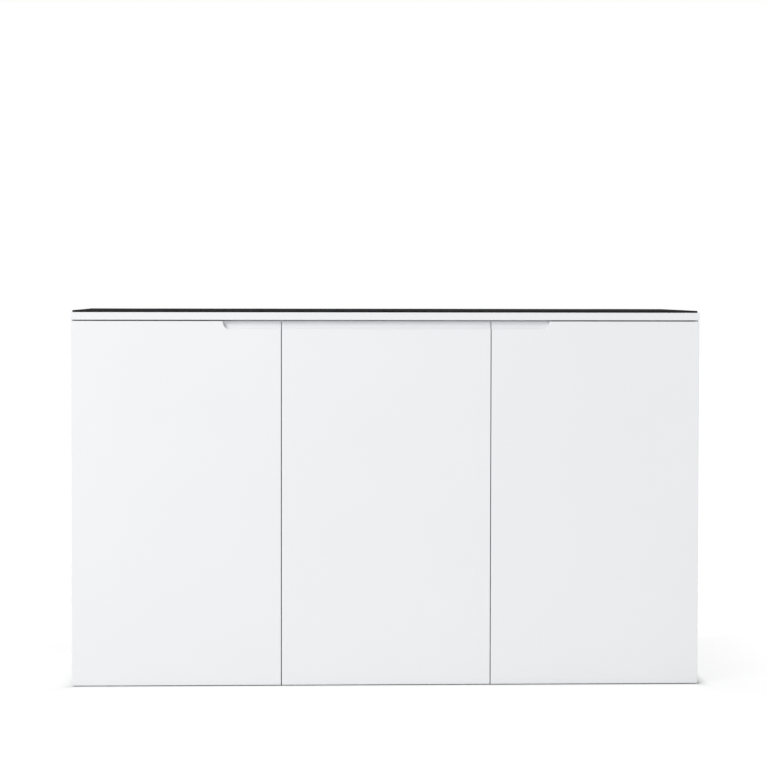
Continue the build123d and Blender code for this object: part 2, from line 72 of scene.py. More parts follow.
# ---- Driving values -----------------------------------------------------------------------------
CAMERA_AZIMUTH = math.radians(-2.25)
CAMERA_ELEVATION = math.radians(2.1)
CAMERA_DISTANCE = 6.0
CAMERA_LENS = 118.19
CAMERA_ROLL = math.radians(0.09)
AIM = Vector((-0.007, -0.300, 0.7228))

FILL_STRENGTH = 0.336
KEY_PLACE = (-5.5, -5.75, 6.0)
KEY_AIM = (-0.2, -0.2, 0.4)
KEY_SIZE = (4.4, 4.4)
KEY_POWER = 697.0
FLOOR_TONE = 0.90
FLOOR_REACH = 30.0  # from its middle to each side
# (metres from the cabinet, own light) of the floor: painted light that whitens the floor and fills the
# cabinet's cast shadow
FLOOR_PAINTED_LIGHT = ((0.0, 0.0), (0.012, 0.50), (0.03, 0.85), (0.30, 0.98), (0.8, 1.0))

SEGMENTS = 48  # of turned pieces
SPLIT_ANGLE = 38.0  # degrees; sharper corners stay sharp
WELD_GAP = 0.005 * MM
BOARD_EDGE = 0.25 * MM  # softening of the square-edged boards

CUP_CENTRE = 22.5  # from the door's hinge edge, mm
ARM_PIN = (25.0, -6.5)  # from the door's hinge edge and from its back face, mm
PLATE_THICK = 3.0

MAT_RIM = ((0.0, 0.0), (0.0, 0.80), (0.12, 0.90), (0.45, 0.97), (1.2, 1.0))  # (inset in mm, share of height)
MAT_GRID = 30 * MM
MAT_CORNER = 4 * MM
MAT_CUT_CORNER = 20 * MM
MAT_MARGIN = 8 * MM  # between the rims and the first points of the mat's top
MAT_WAVE = 0.35 * MM  # waviness of its cut edges
MAT_SINK = 0.25 * MM  # mean depth of its uneven top below the CAD top


# ---- Camera, light and floor --------------------------------------------------------------------
def make_camera():
    data = bpy.data.cameras.new("camera")
    data.lens = CAMERA_LENS
    data.sensor_width = 36.0
    data.clip_end = 60.0
    camera = bpy.data.objects.new("camera", data)
    bpy.context.scene.collection.objects.link(camera)
    across = math.cos(CAMERA_ELEVATION)
    aside, ahead = math.sin(CAMERA_AZIMUTH) * across, -math.cos(CAMERA_AZIMUTH) * across
    back = Vector((aside, ahead, math.sin(CAMERA_ELEVATION)))
    roll = Matrix.Rotation(CAMERA_ROLL, 3, "Z").to_quaternion()
    camera.location = AIM + back * CAMERA_DISTANCE
    camera.rotation_mode = "QUATERNION"
    camera.rotation_quaternion = (-back).to_track_quat("-Z", "Y") @ roll
    bpy.context.scene.camera = camera


def area_light(name, place, aim, size, power):
    data = bpy.data.lights.new(name, "AREA")
    data.shape = "RECTANGLE"
    data.size, data.size_y = size
    data.energy = power
    lamp = bpy.data.objects.new(name, data)
    bpy.context.scene.collection.objects.link(lamp)
    lamp.location = place
    lamp.rotation_mode = "QUATERNION"
    lamp.rotation_quaternion = (Vector(aim) - Vector(place)).to_track_quat("-Z", "Y")


def make_light():
    """Even white surroundings, shown pure white, with a large soft key from the upper left front."""
    world = bpy.data.worlds.new("studio")
    bpy.context.scene.world = world
    world.use_nodes = True
    tree = world.node_tree
    shown = tree.nodes["Background"]
    shown.inputs["Color"].default_value = (1.0, 1.0, 1.0, 1.0)
    fill = tree.nodes.new("ShaderNodeBackground")
    fill.inputs["Color"].default_value = (0.97, 0.985, 1.0, 1.0)
    fill.inputs["Strength"].default_value = FILL_STRENGTH
    rays = tree.nodes.new("ShaderNodeLightPath")
    mix = tree.nodes.new("ShaderNodeMixShader")
    tree.links.new(rays.outputs["Is Camera Ray"], mix.inputs["Fac"])
    tree.links.new(fill.outputs["Background"], mix.inputs[1])
    tree.links.new(shown.outputs["Background"], mix.inputs[2])
    tree.links.new(mix.outputs["Shader"], tree.nodes["World Output"].inputs["Surface"])
    area_light("key", KEY_PLACE, KEY_AIM, KEY_SIZE, KEY_POWER)
    bpy.context.scene.view_settings.view_transform = "Standard"


def make_floor(material):
    mesh = bpy.data.meshes.new("floor")
    form = bmesh.new()
    bmesh.ops.create_grid(form, x_segments=1, y_segments=1, size=FLOOR_REACH)
    form.to_mesh(mesh)
    form.free()
    floor = bpy.data.objects.new("floor", mesh)
    bpy.context.scene.collection.objects.link(floor)
    mesh.materials.append(material)


# ---- Material tools -----------------------------------------------------------------------------
class Paint:
    """Builds one procedural material; positions are the object's own, in metres."""

    def __init__(self, name, roughness, metallic=0.0):
        self.material = bpy.data.materials.new(name)
        self.material.use_nodes = True
        self.tree = self.material.node_tree
        self.shader = self.tree.nodes["Principled BSDF"]
        self.shader.inputs["Roughness"].default_value = roughness
        self.shader.inputs["Metallic"].default_value = metallic
        self.place = self.tree.nodes.new("ShaderNodeTexCoord").outputs["Object"]
        self.normal = None

    def fixed(self, **values):
        """Uniform shader values, on the sockets themselves."""
        for name, value in values.items():
            self.shader.inputs[name.replace("_", " ")].default_value = value

    def link(self, source, target):
        self.tree.links.new(source, target)

    def scaled(self, stretch):
        mapping = self.tree.nodes.new("ShaderNodeMapping")
        mapping.inputs["Scale"].default_value = stretch
        self.link(self.place, mapping.inputs["Vector"])
        return mapping.outputs["Vector"]

    def noise(self, scale, detail=2.0, roughness=0.5, stretch=(1, 1, 1), distortion=0.0):
        node = self.tree.nodes.new("ShaderNodeTexNoise")
        node.inputs["Scale"].default_value = scale
        node.inputs["Detail"].default_value = detail
        node.inputs["Roughness"].default_value = roughness
        node.inputs["Distortion"].default_value = distortion
        self.link(self.scaled(stretch), node.inputs["Vector"])
        return node.outputs["Fac"]

    def cells(self, scale, stretch=(1, 1, 1)):
        node = self.tree.nodes.new("ShaderNodeTexVoronoi")
        node.inputs["Scale"].default_value = scale
        self.link(self.scaled(stretch), node.inputs["Vector"])
        return node.outputs["Distance"]

    def ramp(self, factor, stops):
        node = self.tree.nodes.new("ShaderNodeValToRGB")
        elements = node.color_ramp.elements
        while len(elements) < len(stops):
            elements.new(1.0)
        for element, (position, colour) in zip(elements, stops):
            element.position = position
            element.color = (*colour, 1.0)
        self.link(factor, node.inputs["Fac"])
        return node.outputs["Color"]

    def spread(self, factor, low, high):
        """A factor mapped from 0..1 to low..high."""
        node = self.tree.nodes.new("ShaderNodeMapRange")
        node.inputs["To Min"].default_value = low
        node.inputs["To Max"].default_value = high
        self.link(factor, node.inputs["Value"])
        return node.outputs["Result"]

    def multiply(self, colour, other, amount=1.0):
        node = self.tree.nodes.new("ShaderNodeMix")
        node.data_type = "RGBA"
        node.blend_type = "MULTIPLY"
        node.inputs["Factor"].default_value = amount
        self.link(colour, node.inputs["A"])
        self.link(other, node.inputs["B"])
        return node.outputs["Result"]

    def blend(self, factor, first, second):
        node = self.tree.nodes.new("ShaderNodeMix")
        node.data_type = "RGBA"
        self.link(factor, node.inputs["Factor"])
        self.link(first, node.inputs["A"])
        self.link(second, node.inputs["B"])
        return node.outputs["Result"]

    def colour(self, source):
        self.link(source, self.shader.inputs["Base Color"])

    def rough(self, source):
        self.link(source, self.shader.inputs["Roughness"])

    def bump(self, height, strength, distance):
        node = self.tree.nodes.new("ShaderNodeBump")
        node.inputs["Strength"].default_value = strength
        node.inputs["Distance"].default_value = distance
        self.link(height, node.inputs["Height"])
        if self.normal is not None:
            self.link(self.normal, node.inputs["Normal"])
        self.normal = node.outputs["Normal"]
        self.link(self.normal, self.shader.inputs["Normal"])


def grey(value):
    return (value, value, value)


# ---- Materials ----------------------------------------------------------------------------------
def lacquer():
    """Cool-white satin lacquer sprayed on MDF, with a faint orange peel."""
    paint = Paint("white_lacquer", 0.3)
    paint.fixed(Coat_Weight=0.25, Coat_Roughness=0.12)
    broad = paint.ramp(paint.noise(2.2, 3.0), [(0.3, (0.776, 0.788, 0.804)), (0.7, (0.792, 0.803, 0.818))])
    specks = paint.ramp(paint.noise(900.0, 2.0), [(0.26, grey(0.975)), (0.36, grey(1.0))])
    paint.colour(paint.multiply(broad, specks))
    paint.rough(paint.spread(paint.noise(9.0, 4.0), 0.26, 0.36))
    paint.bump(paint.noise(420.0, 3.0, 0.55), 0.09, 0.0004)
    paint.bump(paint.noise(6.0, 2.0), 0.05, 0.004)
    return paint.material


def melamine():
    """White melamine face with a fine pearl texture."""
    paint = Paint("white_melamine", 0.45)
    broad = paint.ramp(paint.noise(3.0, 3.0), [(0.3, (0.79, 0.795, 0.795)), (0.7, (0.82, 0.825, 0.825))])
    pores = paint.ramp(paint.noise(1400.0, 2.0), [(0.30, grey(0.95)), (0.45, grey(1.0))])
    paint.colour(paint.multiply(broad, pores))
    paint.rough(paint.spread(paint.noise(14.0, 4.0), 0.40, 0.54))
    paint.bump(paint.cells(700.0), 0.10, 0.0003)
    paint.bump(paint.noise(1800.0, 2.0), 0.12, 0.0002)
    return paint.material


def edge_band():
    """Thin ABS band on the boards' front edges, a little glossier than their faces."""
    paint = Paint("edge_band", 0.35)
    broad = paint.ramp(paint.noise(30.0, 3.0), [(0.3, (0.83, 0.84, 0.84)), (0.7, (0.86, 0.865, 0.865))])
    paint.colour(broad)
    paint.rough(paint.spread(paint.noise(60.0, 3.0, stretch=(1, 1, 0.1)), 0.28, 0.42))
    paint.bump(paint.noise(600.0, 2.0), 0.08, 0.0003)
    return paint.material


def raw_board():
    """Bare core of a cut board: fine brown fibres with darker and paler flecks."""
    paint = Paint("raw_board", 0.9)
    fibres = paint.noise(260.0, 6.0, 0.7, stretch=(1, 1, 3.0))
    browns = [(0.30, (0.24, 0.15, 0.085)), (0.50, (0.40, 0.27, 0.165)), (0.72, (0.56, 0.41, 0.27))]
    base = paint.ramp(fibres, browns)
    flecks = paint.ramp(paint.cells(900.0, stretch=(1, 0.35, 1)), [(0.05, grey(0.72)), (0.22, grey(1.0))])
    paint.colour(paint.multiply(base, flecks, 0.7))
    paint.rough(paint.spread(fibres, 0.82, 0.98))
    paint.bump(fibres, 0.6, 0.0006)
    return paint.material


def nickel():
    """Nickel-plated stamped steel: faint draw marks and soft stains."""
    paint = Paint("nickel", 0.28, 1.0)
    tone = paint.noise(60.0, 4.0)
    paint.colour(paint.ramp(tone, [(0.3, (0.66, 0.655, 0.64)), (0.7, (0.80, 0.79, 0.775))]))
    paint.rough(paint.spread(paint.noise(900.0, 3.0, stretch=(1, 0.05, 1)), 0.20, 0.38))
    paint.bump(paint.noise(1500.0, 2.0, stretch=(1, 0.05, 1)), 0.12, 0.0001)
    return paint.material


def zinc():
    """Zinc-plated steel with a mottled bluish bloom."""
    paint = Paint("zinc", 0.4, 1.0)
    greys = [(0.3, (0.42, 0.44, 0.46)), (0.7, (0.62, 0.64, 0.66))]
    paint.colour(paint.ramp(paint.noise(180.0, 5.0, 0.6), greys))
    paint.rough(paint.spread(paint.noise(320.0, 4.0), 0.30, 0.52))
    paint.bump(paint.noise(1200.0, 2.0), 0.15, 0.0001)
    return paint.material


def magnet_face():
    """Nickel-coated magnet: bright, with fine grinding marks."""
    paint = Paint("magnet", 0.18, 1.0)
    paint.colour(paint.ramp(paint.noise(90.0, 3.0), [(0.3, (0.62, 0.62, 0.63)), (0.7, (0.76, 0.76, 0.77))]))
    paint.rough(paint.spread(paint.noise(2600.0, 2.0, stretch=(1, 1, 0.06)), 0.12, 0.30))
    paint.bump(paint.noise(2600.0, 2.0, stretch=(1, 1, 0.06)), 0.10, 0.0001)
    return paint.material


def foam():
    """Closed-cell black foam: small cells, dusty high spots."""
    paint = Paint("foam", 0.95)
    paint.fixed(Specular_IOR_Level=0.25)
    cells = paint.cells(520.0)
    blacks = [(0.3, (0.011, 0.011, 0.013)), (0.7, (0.024, 0.024, 0.027))]
    tone = paint.ramp(paint.noise(24.0, 5.0, 0.6), blacks)
    dust = paint.ramp(cells, [(0.0, grey(1.35)), (0.45, grey(0.75))])
    paint.colour(paint.multiply(tone, dust))
    paint.bump(cells, 0.7, 0.0006)
    paint.bump(paint.noise(90.0, 3.0), 0.25, 0.001)
    return paint.material


def plastic(name, dark, light, roughness):
    """Moulded plastic with a spark-eroded grain."""
    paint = Paint(name, roughness)
    paint.colour(paint.ramp(paint.noise(40.0, 4.0), [(0.3, dark), (0.7, light)]))
    paint.rough(paint.spread(paint.noise(300.0, 3.0), roughness - 0.08, roughness + 0.10))
    paint.bump(paint.noise(1900.0, 2.0), 0.25, 0.00015)
    return paint.material


def clear_rubber():
    """Clear soft bumper, slightly cloudy."""
    paint = Paint("clear_bumper", 0.2)
    paint.fixed(Transmission_Weight=0.85, IOR=1.45)
    paint.colour(paint.ramp(paint.noise(500.0, 3.0), [(0.3, (0.84, 0.86, 0.86)), (0.7, (0.93, 0.94, 0.94))]))
    paint.rough(paint.spread(paint.noise(700.0, 2.0), 0.12, 0.30))
    paint.bump(paint.noise(900.0, 2.0), 0.10, 0.0002)
    return paint.material


def beech():
    """Planed beech: straight grain along X with short dark flecks."""
    paint = Paint("beech", 0.6)
    grain = paint.noise(70.0, 6.0, 0.6, stretch=(0.12, 1, 1), distortion=0.4)
    browns = [(0.3, (0.45, 0.27, 0.15)), (0.55, (0.62, 0.41, 0.25)), (0.8, (0.72, 0.52, 0.34))]
    base = paint.ramp(grain, browns)
    short = paint.noise(1100.0, 2.0, stretch=(0.12, 1, 1))
    flecks = paint.ramp(short, [(0.30, grey(0.70)), (0.42, grey(1.0))])
    paint.colour(paint.multiply(base, flecks))
    paint.rough(paint.spread(grain, 0.5, 0.72))
    paint.bump(grain, 0.2, 0.0004)
    return paint.material


def floor_finish():
    """Plain pale studio floor that fades into the white surroundings by painted light: it glows more with
    the distance from the cabinet, which also fills the cabinet's cast shadow.
    """
    paint = Paint("studio_floor", 0.6)
    outside = paint.tree.nodes.new("ShaderNodeVectorMath")
    outside.operation = "ABSOLUTE"
    paint.link(paint.place, outside.inputs[0])
    beyond = paint.tree.nodes.new("ShaderNodeVectorMath")
    beyond.operation = "SUBTRACT"
    beyond.inputs[1].default_value = (cad_high.x, cad_high.y, 0.0)
    paint.link(outside.outputs["Vector"], beyond.inputs[0])
    parts = paint.tree.nodes.new("ShaderNodeSeparateXYZ")
    paint.link(beyond.outputs["Vector"], parts.inputs["Vector"])
    distance = paint.tree.nodes.new("ShaderNodeMath")
    distance.operation = "MAXIMUM"
    paint.link(parts.outputs["X"], distance.inputs[0])
    paint.link(parts.outputs["Y"], distance.inputs[1])
    # Painted light: how strongly the floor glows, from none at the cabinet's outline to full far off.
    painted_light = paint.ramp(distance.outputs["Value"], [(reach, grey(value)) for reach, value in FLOOR_PAINTED_LIGHT])
    near = paint.ramp(paint.noise(1.5, 2.0), [(0.3, grey(FLOOR_TONE)), (0.7, grey(FLOOR_TONE + 0.01))])
    black = paint.ramp(distance.outputs["Value"], [(0.0, grey(0.0)), (1.0, grey(0.0))])
    # Painted light: where the floor gives its own light it reflects less, so the cabinet's cast shadow fades
    # with the distance.
    paint.colour(paint.blend(painted_light, near, black))
    paint.fixed(Emission_Color=(1.0, 1.0, 1.0, 1.0), Specular_IOR_Level=0.2)
    # The floor's emission is painted light, not a lamp; it follows the same distance ramp.
    paint.link(painted_light, paint.shader.inputs["Emission Strength"])
    paint.bump(paint.noise(60.0, 2.0), 0.02, 0.001)
    return paint.material


FINISH = {
    "white_lacquer": lacquer(),
    "white_melamine": melamine(),
    "foam": foam(),
    "nickel": nickel(),
    "zinc": zinc(),
    "magnet": magnet_face(),
    "black_plastic": plastic("black_plastic", (0.012, 0.012, 0.014), (0.028, 0.028, 0.031), 0.45),
    "white_plastic": plastic("white_plastic", (0.74, 0.74, 0.73), (0.80, 0.80, 0.79), 0.40),
    "clear_bumper": clear_rubber(),
    "beech": beech(),
}
EDGE_BAND = edge_band()
RAW_BOARD = raw_board()


# ---- Finishes of the CAD nodes ------------------------------------------------------------------
def dress(node, finishes, choose=None):
    """Gives a CAD node its materials; choose(face) returns the index of a face's material."""
    mesh = NODES[node].data
    mesh.materials.clear()
    for finish in finishes:
        mesh.materials.append(finish)
    for face in mesh.polygons:
        face.material_index = choose(face) if choose else 0


def cut_faces(node, axis):
    """A chooser: faces that stand across the board, away from its own outline, show its bare core."""
    low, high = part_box(node)
    margin = 1.5 * MM

    def choose(face):
        if abs(face.normal[axis]) > 0.5:
            return 0
        for way in range(3):
            if way == axis:
                continue
            if face.center[way] < low[way] + margin or face.center[way] > high[way] - margin:
                return 0
        return 1

    return choose


def banded(node, axis):
    """A chooser: the edge that faces the doors is banded, and cuts show the core."""
    low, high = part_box(node)
    core = cut_faces(node, axis)

    def choose(face):
        if face.normal.y < -0.9 and face.center.y < low.y + 1.0 * MM:
            return 2
        return core(face)

    return choose


def dress_nodes():
    """Every CAD node takes its record slot's finish; cut boards also show their core and edge band."""
    for part in frame["record"]["subparts"]:
        dress(part["node"], [FINISH[part["material_slot"]]])
    white, board = FINISH["white_lacquer"], FINISH["white_melamine"]
    for node in ("left_back_panel", "right_back_panel"):
        dress(node, [board, RAW_BOARD], cut_faces(node, 1))
    dress("top_panel", [white, RAW_BOARD], cut_faces("top_panel", 2))
    dress("divider_panel", [board, RAW_BOARD, EDGE_BAND], banded("divider_panel", 0))
    for node in ("base_panel", "equipment_shelf"):
        dress(node, [board, RAW_BOARD, EDGE_BAND], banded(node, 2))
    for node in ("left_side_panel", "right_side_panel"):
        dress(node, [white, RAW_BOARD], cut_faces(node, 0))


def soften_boards():
    """Takes the knife edge off the square-edged boards and blocks."""
    names = ["base_panel", "divider_panel", "equipment_shelf", "front_plinth_rail", "rear_plinth_rail"]
    names += ["plinth_bearers", "foot_blocks", "left_back_panel", "right_back_panel"]
    names += [f"{row}_top_rail_{side}" for row in ("front", "rear") for side in ("left", "right")]
    names += [leaf + "_strike_disc" for leaf in LEAVES]
    for name in names:
        weld = NODES[name].modifiers.new("weld", "WELD")
        weld.merge_threshold = WELD_GAP
        flat = NODES[name].modifiers.new("flat faces", "DECIMATE")
        flat.decimate_type = "DISSOLVE"
        flat.angle_limit = math.radians(0.5)
        flat.delimit = {"MATERIAL"}
        bevel = NODES[name].modifiers.new("soft edges", "BEVEL")
        bevel.width = BOARD_EDGE
        bevel.segments = 2
        bevel.use_clamp_overlap = False
        bevel.angle_limit = math.radians(50)
        bevel.loop_slide = False
        bevel.harden_normals = True


# ---- Mesh tools ---------------------------------------------------------------------------------
def piece(name, form, slot, body, replaced=()):
    """Turns a bmesh into a riding piece with its slot's finish."""
    bmesh.ops.recalc_face_normals(form, faces=form.faces)
    mesh = bpy.data.meshes.new(name)
    form.to_mesh(mesh)
    form.free()
    made = bpy.data.objects.new(name, mesh)
    bpy.context.scene.collection.objects.link(made)
    mesh.materials.append(FINISH[slot])
    mesh.shade_smooth()
    corners = made.modifiers.new("corners", "EDGE_SPLIT")
    corners.split_angle = math.radians(SPLIT_ANGLE)
    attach(made, body)
    if replaced:
        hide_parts(*replaced)
    return made


def facing(point, direction):
    """Matrix that puts local +Z along a direction at a point."""
    return Matrix.Translation(point) @ Vector(direction).to_track_quat("Z", "Y").to_matrix().to_4x4()


def ring(height, radius_at, count=SEGMENTS):
    """Points around the local Z axis, in millimetres; radius_at(angle) gives the outline."""
    angles = [math.tau * step / count for step in range(count)]
    return [Vector((radius_at(a) * math.cos(a), radius_at(a) * math.sin(a), height)) for a in angles]


def round_ring(height, radius, count=SEGMENTS):
    return ring(height, lambda angle: radius, count)


def hex_ring(height, corner, limit=math.inf):
    """Hexagon with rounded-off corners where limit is smaller than its corner radius."""
    flat = corner * math.cos(math.pi / 6)

    def radius_at(angle):
        return min(limit, flat / math.cos((angle % (math.pi / 3)) - math.pi / 6))

    return ring(height, radius_at)


def cross_ring(height, reach):
    """Outline of a cross recess whose arms are as long as reach."""
    half = reach * math.sin(math.tau / SEGMENTS)

    def radius_at(angle):
        turn = angle % (math.pi / 2)
        turn = min(turn, math.pi / 2 - turn)
        return min(reach, half / max(math.sin(turn), 1e-6))

    return ring(height, radius_at)


def loft(form, rings, place, loop=False):
    """Joins rings of equal count into one solid; the ends are closed, or meet when loop is set."""
    rows = [[form.verts.new(place @ (point * MM)) for point in points] for points in rings]
    pairs = list(zip(rows, rows[1:]))
    if loop:
        pairs.append((rows[-1], rows[0]))
    for low, high in pairs:
        for step in range(len(low)):
            nxt = (step + 1) % len(low)
            form.faces.new((low[step], low[nxt], high[nxt], high[step]))
    if loop:
        return
    for row in (rows[0], rows[-1]):
        middle = form.verts.new(sum((vert.co for vert in row), Vector()) / len(row))
        for step in range(len(row)):
            form.faces.new((row[step], row[(step + 1) % len(row)], middle))


def turned(form, profile, place, loop=False, count=SEGMENTS):
    """A turned solid from (radius, height) points in millimetres."""
    loft(form, [round_ring(height, radius, count) for radius, height in profile], place, loop)


def brick(form, low, high, place, soft=0.4, turns=2):
    """A box in local millimetres with rounded edges."""
    made = bmesh.ops.create_cube(form, size=1.0)["verts"]
    low, high = Vector(low), Vector(high)
    for vert in made:
        vert.co = (low + high) / 2 + Vector(vert.co[i] * (high[i] - low[i]) for i in range(3))
    edges = list(dict.fromkeys(edge for vert in made for edge in vert.link_edges))
    shaped = bmesh.ops.bevel(form, geom=edges, offset=soft, segments=turns, profile=0.5, affect="EDGES")
    verts = {vert for face in shaped["faces"] for vert in face.verts} | {v for v in made if v.is_valid}
    for vert in verts:
        vert.co = place @ (vert.co * MM)


def in_order(parts, place_of):
    """Sorts vertices or faces by their place."""
    ranked = sorted(parts, key=lambda part: tuple(round(c, 7) for c in place_of(part)))
    for number, part in enumerate(ranked):
        part.index = number
    parts.sort()


def settle(form):
    """Gives vertices and faces the same order on every run; bevelled bricks alone don't."""
    in_order(form.verts, lambda vert: vert.co)
    in_order(form.faces, lambda face: face.calc_center_median())


def thread(form, place, low, high, root, crest, pitch, count=24):
    """A helical screw thread from low to high on the local Z axis."""
    rows = []
    for index in range(int((high - low) / pitch * 2)):
        radius = crest if index % 2 else root
        start = low + index * pitch / 2
        row = []
        for step in range(count):
            angle = math.tau * step / count
            height = start + pitch * step / count
            point = Vector((radius * math.cos(angle), radius * math.sin(angle), height))
            row.append(form.verts.new(place @ (point * MM)))
        rows.append(row)
    last = len(rows) - 1
    for index in range(last):
        for step in range(count - 1):
            below, above = rows[index], rows[index + 1]
            form.faces.new((below[step], below[step + 1], above[step + 1], above[step]))
        if index + 3 <= last:
            ends = (rows[index][-1], rows[index + 2][0], rows[index + 3][0], rows[index + 1][-1])
            form.faces.new(ends)
    form.faces.new(rows[0] + [rows[2][0], rows[1][0]])
    form.faces.new(rows[last] + [rows[last - 1][-1], rows[last - 2][-1]])


def rounded_outline(low, high, radius, step=None):
    """Points round a rectangle with rounded corners, counter-clockwise, no further apart than step."""
    corners = [(high[0] - radius, high[1] - radius, 0), (low[0] + radius, high[1] - radius, 1)]
    corners += [(low[0] + radius, low[1] + radius, 2), (high[0] - radius, low[1] + radius, 3)]
    points = []
    for x, y, quarter in corners:
        for part in range(7):
            angle = math.pi / 2 * (quarter + part / 6)
            points.append(Vector((x + radius * math.cos(angle), y + radius * math.sin(angle))))
    if step is None:
        return points
    dense = []
    for point, after in zip(points, points[1:] + points[:1]):
        count = max(1, round((after - point).length / step))
        dense += [point.lerp(after, part / count) for part in range(count)]
    return dense


def islands(node):
    """Centre and corners of each loose solid in a CAD node."""
    form = bmesh.new()
    form.from_mesh(NODES[node].data)
    bmesh.ops.remove_doubles(form, verts=form.verts, dist=0.01 * MM)
    left, found = set(form.verts), []
    while left:
        group, border = set(), [left.pop()]
        while border:
            vert = border.pop()
            group.add(vert)
            for edge in vert.link_edges:
                other = edge.other_vert(vert)
                if other in left:
                    left.discard(other)
                    border.append(other)
        low = Vector(min(v.co[i] for v in group) for i in range(3))
        high = Vector(max(v.co[i] for v in group) for i in range(3))
        found.append(((low + high) / 2, low, high))
    form.free()
    return sorted(found, key=lambda item: tuple(round(c, 5) for c in item[0]))


# ---- Small fittings -----------------------------------------------------------------------------
def screw(form, place, length, shank, head, height):
    """Wood screw with a domed cross-recess head; the origin is under its head."""
    rings = [round_ring(-length, 0.25), round_ring(-length + 1.6, shank * 0.75)]
    depth = length - 1.6
    turns = max(2, int((depth - 1.2) / 0.9))
    for index in range(turns):
        start = -depth + (depth - 1.2) * index / turns
        rings += [round_ring(start, shank * 0.78), round_ring(start + 0.45, shank)]
    rings += [round_ring(-1.0, shank * 0.85), round_ring(0.0, shank * 0.95)]
    dome = ((0.0, 0.96), (0.25, 1.0), (0.70, 0.90), (0.95, 0.72), (1.0, 0.62))
    rings += [round_ring(height * rise, head * share) for rise, share in dome]
    rings += [cross_ring(height, head * 0.56), cross_ring(height - 1.3, head * 0.34)]
    loft(form, rings, place)


def side_of(centre):
    """Direction along X in which cams and shelf pins face: -X on the right side panel, +X elsewhere."""
    bay_middle = (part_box("divider_panel")[1].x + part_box("right_side_panel")[0].x) / 2
    return -1.0 if centre.x > bay_middle else 1.0


def make_screws():
    """Cross-head screws of the hinge cups and of the mounting plates."""
    for leaf in LEAVES:
        node = leaf + "_cup_screws"
        form = bmesh.new()
        for centre, _, high in islands(node):
            seat = Vector((centre.x, high.y - 0.5 * MM, centre.z))
            screw(form, facing(seat, (0, 1, 0)), 10.5, 1.9, 3.7, 1.3)
        piece(leaf + "_cross_head_screws", form, "nickel", leaf + "_door_leaf", [node])
    form = bmesh.new()
    for centre, low, high in islands("hinge_plate_screws"):
        way = -1.0 if centre.x > 0 else 1.0
        seat = Vector(((high.x if way > 0 else low.x) - way * 1.2 * MM, centre.y, centre.z))
        screw(form, facing(seat, (way, 0, 0)), (high.x - low.x) / MM - 1.5, 1.9, 3.7, 1.5)
    piece("plate_cross_head_screws", form, "nickel", "carcass", ["hinge_plate_screws"])


def make_cams():
    """Cam locks: a rimmed face with a cross slot."""
    form = bmesh.new()
    for centre, low, high in islands("cam_locks"):
        way = side_of(centre)
        face = Vector((high.x if way > 0 else low.x, centre.y, centre.z))
        turns = ((-12.4, 7.2), (-12.0, 7.45), (-0.4, 7.45), (0.0, 7.1), (0.0, 6.2), (-0.5, 6.0), (-0.5, 4.6))
        rings = [round_ring(height, radius) for height, radius in turns]
        rings += [cross_ring(-0.5, 4.3), cross_ring(-3.2, 3.3)]
        loft(form, rings, facing(face, (way, 0, 0)))
    piece("cross_slot_cams", form, "zinc", "carcass", ["cam_locks"])


def make_grommets():
    """Cable grommets: a sleeve with a rounded lip at each end."""
    lip = ((25.0, 0.6), (25.5, 1.6), (27.0, 2.0), (33.4, 1.6), (34.7, 0.9), (35.0, 0.0))
    sleeve = 29.95
    for node, axis in (("divider_grommet", 0), ("back_grommet", 1)):
        (centre, low, high), = islands(node)
        half = (high[axis] - low[axis]) / 2 / MM - 2.0
        profile = [(radius, -half - rise) for radius, rise in lip] + [(sleeve, -half), (sleeve, half)]
        profile += [(radius, half + rise) for radius, rise in reversed(lip)]
        form = bmesh.new()
        direction = [0, 0, 0]
        direction[axis] = 1
        turned(form, profile, facing(centre, direction), loop=True, count=96)
        piece("rounded_" + node, form, "black_plastic", "carcass", [node])


def make_bumpers():
    """Soft domed bumpers on the backs of the doors."""
    dome = [(3.6, 0.0), (4.0, 0.15), (3.9, 0.6), (3.3, 1.15), (2.2, 1.5), (0.8, 1.6)]
    for leaf in LEAVES:
        node = leaf + "_bumpers"
        form = bmesh.new()
        for centre, low, _ in islands(node):
            turned(form, dome, facing(Vector((centre.x, low.y, centre.z)), (0, 1, 0)))
        piece(leaf + "_domed_bumpers", form, "clear_bumper", leaf + "_door_leaf", [node])


def make_key_hole_caps():
    """Push-in caps: a ribbed plug under a low dome."""
    profile = [(5.3, -8.0), (5.9, -7.0), (5.6, -3.0), (5.95, -0.5), (5.95, 0.0), (8.7, 0.0), (9.0, 0.4)]
    profile += [(8.6, 1.0), (7.0, 1.45), (4.0, 1.6), (1.0, 1.6)]
    form = bmesh.new()
    for centre, _, high in islands("key_hole_caps"):
        turned(form, profile, facing(Vector((centre.x, centre.y, high.z - 1.6 * MM)), (0, 0, 1)))
    piece("domed_key_hole_caps", form, "white_plastic", "carcass", ["key_hole_caps"])


def make_magnets():
    """Pot magnets with a ring groove in their faces."""
    profile = [(5.6, 0.0), (6.0, 0.4), (6.0, 13.8), (5.7, 14.2)]
    profile += [(4.9, 14.2), (4.75, 13.9), (3.5, 13.9), (3.35, 14.2)]
    form = bmesh.new()
    for centre, _, high in islands("magnets"):
        turned(form, profile, facing(Vector((centre.x, high.y, centre.z)), (0, -1, 0)))
    piece("ring_faced_magnets", form, "magnet", "carcass", ["magnets"])


